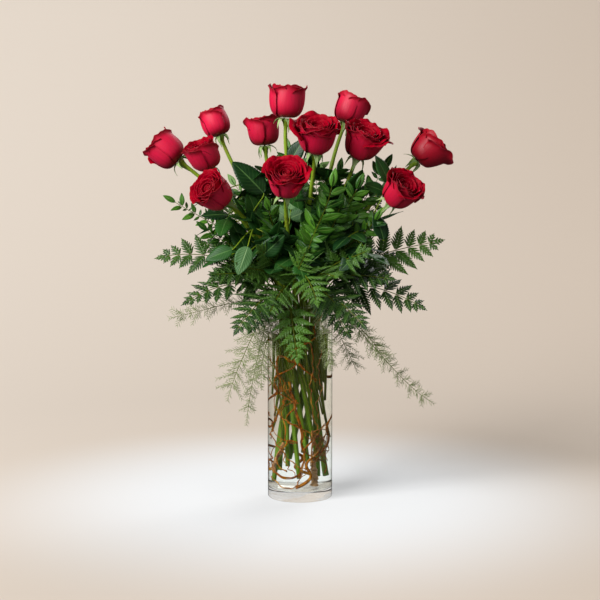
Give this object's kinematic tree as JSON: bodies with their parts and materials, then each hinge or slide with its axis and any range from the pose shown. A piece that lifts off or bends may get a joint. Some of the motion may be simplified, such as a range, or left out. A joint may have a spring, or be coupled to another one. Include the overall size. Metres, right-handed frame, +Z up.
{
  "type": "roses in a vase",
  "caption": "Long-stemmed red roses arranged with fern fronds, leafy sprays and asparagus fern in a tall clear glass cylinder vase of water with curly willow twigs.",
  "frame": {"origin": "centre of the vase's flat foot, on the surface that it stands on", "axes": "+Z up along the axis of the vase, the front of the arrangement towards -Y, +X to the viewer's right"},
  "size_m": [0.4684, 0.3064, 0.6325],
  "materials": {
    "glass": "clear, polished",
    "water": "clear water, flat surface",
    "petal": "velvety red petal",
    "stem": "smooth green stem, leaves with a soft sheen",
    "fern": "dark green leathery frond, soft sheen",
    "spray": "deep green leaf, soft sheen",
    "feather": "fine grey-green needles",
    "willow": "wet orange-brown bark"
  },
  "bodies": {
    "root": {"vase": "glass", "water": "water", "rose_01_bloom": "petal", "rose_01_stem": "stem", "rose_02_bloom": "petal", "rose_02_stem": "stem", "rose_03_bloom": "petal", "rose_03_stem": "stem", "rose_04_bloom": "petal", "rose_04_stem": "stem", "rose_05_bloom": "petal", "rose_05_stem": "stem", "rose_06_bloom": "petal", "rose_06_stem": "stem", "rose_07_bloom": "petal", "rose_07_stem": "stem", "rose_08_bloom": "petal", "rose_08_stem": "stem", "rose_09_bloom": "petal", "rose_09_stem": "stem", "rose_10_bloom": "petal", "rose_10_stem": "stem", "rose_11_bloom": "petal", "rose_11_stem": "stem", "rose_12_bloom": "petal", "rose_12_stem": "stem", "fern_01": "fern", "fern_02": "fern", "fern_03": "fern", "fern_04": "fern", "fern_05": "fern", "fern_06": "fern", "fern_07": "fern", "fern_08": "fern", "fern_09": "fern", "fern_10": "fern", "fern_11": "fern", "fern_12": "fern", "fern_13": "fern", "fern_14": "fern", "fern_15": "fern", "fern_16": "fern", "fern_17": "fern", "spray_01": "spray", "spray_02": "spray", "spray_03": "spray", "spray_04": "spray", "spray_05": "spray", "spray_06": "spray", "spray_07": "spray", "feather_01": "feather", "feather_02": "feather", "feather_03": "feather", "willow_01": "willow", "willow_02": "willow", "willow_03": "willow"}
  },
  "joints": []
}
